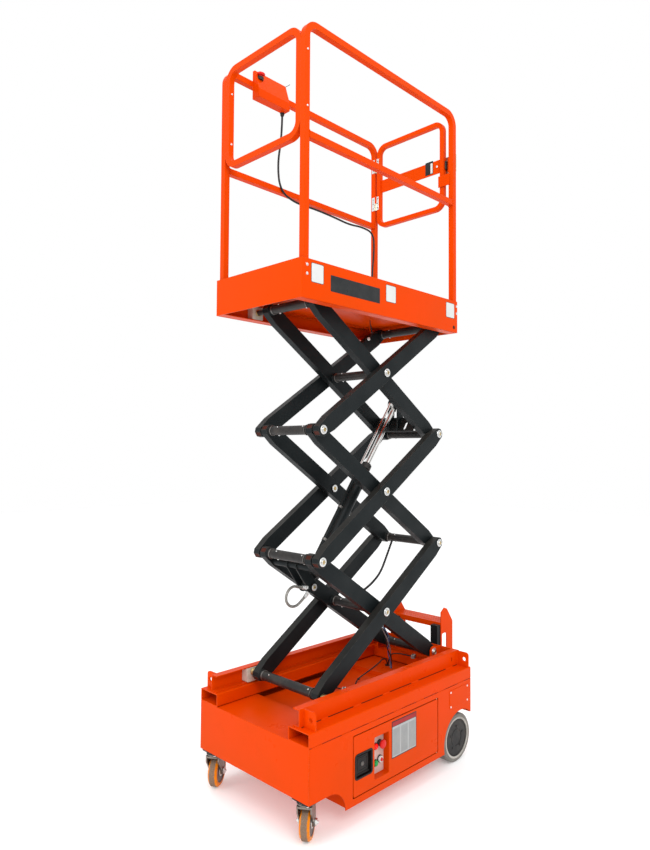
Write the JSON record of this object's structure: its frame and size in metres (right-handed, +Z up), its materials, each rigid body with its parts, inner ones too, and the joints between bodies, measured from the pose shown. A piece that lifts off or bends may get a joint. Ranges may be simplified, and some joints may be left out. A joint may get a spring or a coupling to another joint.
{
  "type": "scissor lift",
  "caption": "Compact self-propelled scissor lift: wheeled chassis with fork pockets, six crossed arm frames raised by a centre cylinder, and a railed platform with a gate.",
  "frame": {"origin": "on the floor under the middle of the machine's whole length and width", "axes": "+X towards the swivel casters, +Y towards the machine's left side, +Z up"},
  "size_m": [1.3619, 0.7776, 3.6078],
  "materials": {
    "orange_paint": "gloss",
    "black_paint": "satin",
    "shaft_steel": "satin",
    "chrome": "polished",
    "nylon": "matt",
    "tyre_rubber": "matt",
    "hub_black": "matt",
    "caster_pu": "satin",
    "caster_hub": "satin",
    "battery_case": "matt",
    "unit_grey": "satin",
    "zinc": "satin",
    "cable_black": "satin",
    "hose_braid": "satin"
  },
  "bodies": {
    "chassis": {"hull_side_left": "orange_paint", "hull_side_right": "orange_paint", "hull_nose": "orange_paint", "hull_front_bulkhead": "orange_paint", "hull_floor": "orange_paint", "hull_tail": "orange_paint", "deck": "orange_paint", "fork_pockets": "orange_paint", "slide_channel_left": "orange_paint", "slide_channel_right": "orange_paint", "rear_cross_member": "orange_paint", "entry_steps": "orange_paint", "step_posts": "black_paint", "service_covers": "orange_paint", "battery_pack": "battery_case", "hydraulic_unit": "unit_grey", "rear_axle": "zinc", "caster_plates": "black_paint", "door_pins": "zinc"},
    "inner_frame_1": {"inner_arms_1": "black_paint", "inner_shafts_1": "shaft_steel", "cylinder_bracket": "black_paint", "cylinder_hose": "hose_braid"},
    "outer_frame_1": {"outer_arms_1": "black_paint", "bottom_slide_shaft": "shaft_steel", "lift_harness": "cable_black"},
    "inner_frame_2": {"inner_arms_2": "black_paint", "inner_shafts_2": "shaft_steel"},
    "outer_frame_2": {"outer_arms_2": "black_paint"},
    "inner_frame_3": {"inner_arms_3": "black_paint", "inner_shafts_3": "shaft_steel", "rod_clevis": "black_paint"},
    "outer_frame_3": {"outer_arms_3": "black_paint", "top_pivot_shaft": "shaft_steel"},
    "platform": {"platform_tray": "orange_paint", "platform_channels": "black_paint", "side_rail_left": "orange_paint", "side_rail_right": "orange_paint", "front_rail": "orange_paint", "control_box": "orange_paint", "gate_hinges": "zinc", "control_cable": "cable_black"},
    "gate": {"gate_frame": "orange_paint"},
    "bottom_slides": {"bottom_slide_blocks": "nylon"},
    "top_slides": {"top_slide_blocks": "nylon"},
    "barrel": {"cylinder_barrel": "black_paint"},
    "rod": {"cylinder_rod": "chrome"},
    "left_door": {"door_left": "orange_paint"},
    "right_door": {"door_right": "orange_paint"},
    "caster_left": {"caster_fork_left": "black_paint"},
    "caster_wheel_left": {"caster_tyre_left": "caster_pu", "caster_core_left": "caster_hub"},
    "rear_wheel_left": {"rear_tyre_left": "tyre_rubber", "rear_hub_left": "hub_black"},
    "caster_right": {"caster_fork_right": "black_paint"},
    "caster_wheel_right": {"caster_tyre_right": "caster_pu", "caster_core_right": "caster_hub"},
    "rear_wheel_right": {"rear_tyre_right": "tyre_rubber", "rear_hub_right": "hub_black"}
  },
  "joints": [
    {"name": "lift", "type": "hinge", "parent": "chassis", "child": "inner_frame_1", "pos_m": [-0.467, 0, 0.535], "axis": [0, -1, 0], "range_deg": [-27.3, 11.7]},
    {"name": "cross_pivot_1", "type": "hinge", "parent": "inner_frame_1", "child": "outer_frame_1", "pos_m": [-0.00731, 0, 0.83696], "axis": [0, -1, 0], "range_deg": [-23.4, 54.6]},
    {"name": "rear_pivot_1", "type": "hinge", "parent": "outer_frame_1", "child": "inner_frame_2", "pos_m": [-0.467, 0, 1.13893], "axis": [0, -1, 0], "range_deg": [-54.6, 23.4]},
    {"name": "cross_pivot_2", "type": "hinge", "parent": "inner_frame_2", "child": "outer_frame_2", "pos_m": [-0.00731, 0, 1.44089], "axis": [0, -1, 0], "range_deg": [-23.4, 54.6]},
    {"name": "rear_pivot_2", "type": "hinge", "parent": "outer_frame_2", "child": "inner_frame_3", "pos_m": [-0.467, 0, 1.74285], "axis": [0, -1, 0], "range_deg": [-54.6, 23.4]},
    {"name": "cross_pivot_3", "type": "hinge", "parent": "inner_frame_3", "child": "outer_frame_3", "pos_m": [-0.00731, 0, 2.04481], "axis": [0, -1, 0], "range_deg": [-23.4, 54.6]},
    {"name": "platform_pivot", "type": "hinge", "parent": "outer_frame_3", "child": "platform", "pos_m": [-0.467, 0, 2.34678], "axis": [0, -1, 0], "range_deg": [-27.3, 11.7]},
    {"name": "bottom_slide_pivot", "type": "hinge", "parent": "outer_frame_1", "child": "bottom_slides", "pos_m": [0.45239, 0, 0.535], "axis": [0, -1, 0], "range_deg": [-27.3, 11.7]},
    {"name": "top_slide_pivot", "type": "hinge", "parent": "inner_frame_3", "child": "top_slides", "pos_m": [0.45239, 0, 2.34678], "axis": [0, -1, 0], "range_deg": [-11.7, 27.3]},
    {"name": "barrel_pivot", "type": "hinge", "parent": "inner_frame_1", "child": "barrel", "pos_m": [0.32345, 0, 0.98005], "axis": [0, -1, 0], "range_deg": [-24.8, 57.88]},
    {"name": "rod_stroke", "type": "slide", "parent": "barrel", "child": "rod", "axis": [-0.5952, 0, 0.8036], "range_m": [-0.358, 0.154]},
    {"name": "caster_swivel_left", "type": "hinge", "parent": "chassis", "child": "caster_left", "pos_m": [0.64, 0.32, 0.175], "axis": [0, 0, 1], "continuous": true},
    {"name": "caster_axle_left", "type": "hinge", "parent": "caster_left", "child": "caster_wheel_left", "pos_m": [0.60813, 0.2993, 0.075], "axis": [-0.5446, 0.8387, 0], "continuous": true},
    {"name": "rear_axle_left", "type": "hinge", "parent": "chassis", "child": "rear_wheel_left", "pos_m": [-0.442, 0.317, 0.125], "axis": [0, 1, 0], "continuous": true},
    {"name": "caster_swivel_right", "type": "hinge", "parent": "chassis", "child": "caster_right", "pos_m": [0.64, -0.32, 0.175], "axis": [0, 0, 1], "continuous": true},
    {"name": "caster_axle_right", "type": "hinge", "parent": "caster_right", "child": "caster_wheel_right", "pos_m": [0.60813, -0.3407, 0.075], "axis": [-0.5446, 0.8387, 0], "continuous": true},
    {"name": "rear_axle_right", "type": "hinge", "parent": "chassis", "child": "rear_wheel_right", "pos_m": [-0.442, -0.317, 0.125], "axis": [0, 1, 0], "continuous": true},
    {"name": "gate_hinge", "type": "hinge", "parent": "platform", "child": "gate", "pos_m": [-0.499, -0.264, 3.28], "axis": [0, 0, -1], "range_deg": [0, 90]},
    {"name": "door_hinge_left", "type": "hinge", "parent": "chassis", "child": "left_door", "pos_m": [-0.225, 0.3775, 0.25], "axis": [0, 0, 1], "range_deg": [0, 95]},
    {"name": "door_hinge_right", "type": "hinge", "parent": "chassis", "child": "right_door", "pos_m": [-0.225, -0.3775, 0.25], "axis": [0, 0, -1], "range_deg": [0, 95]}
  ],
  "couplings": [
    {"joint": "cross_pivot_1", "follows": "lift", "ratio": -2},
    {"joint": "rear_pivot_1", "follows": "lift", "ratio": 2},
    {"joint": "cross_pivot_2", "follows": "lift", "ratio": -2},
    {"joint": "rear_pivot_2", "follows": "lift", "ratio": 2},
    {"joint": "cross_pivot_3", "follows": "lift", "ratio": -2},
    {"joint": "platform_pivot", "follows": "lift", "ratio": 1},
    {"joint": "bottom_slide_pivot", "follows": "lift", "ratio": 1},
    {"joint": "top_slide_pivot", "follows": "lift", "ratio": -1},
    {"joint": "barrel_pivot", "follows": "lift", "ratio": -2.12},
    {"joint": "rod_stroke", "follows": "lift", "m_per_rad": 0.75}
  ]
}
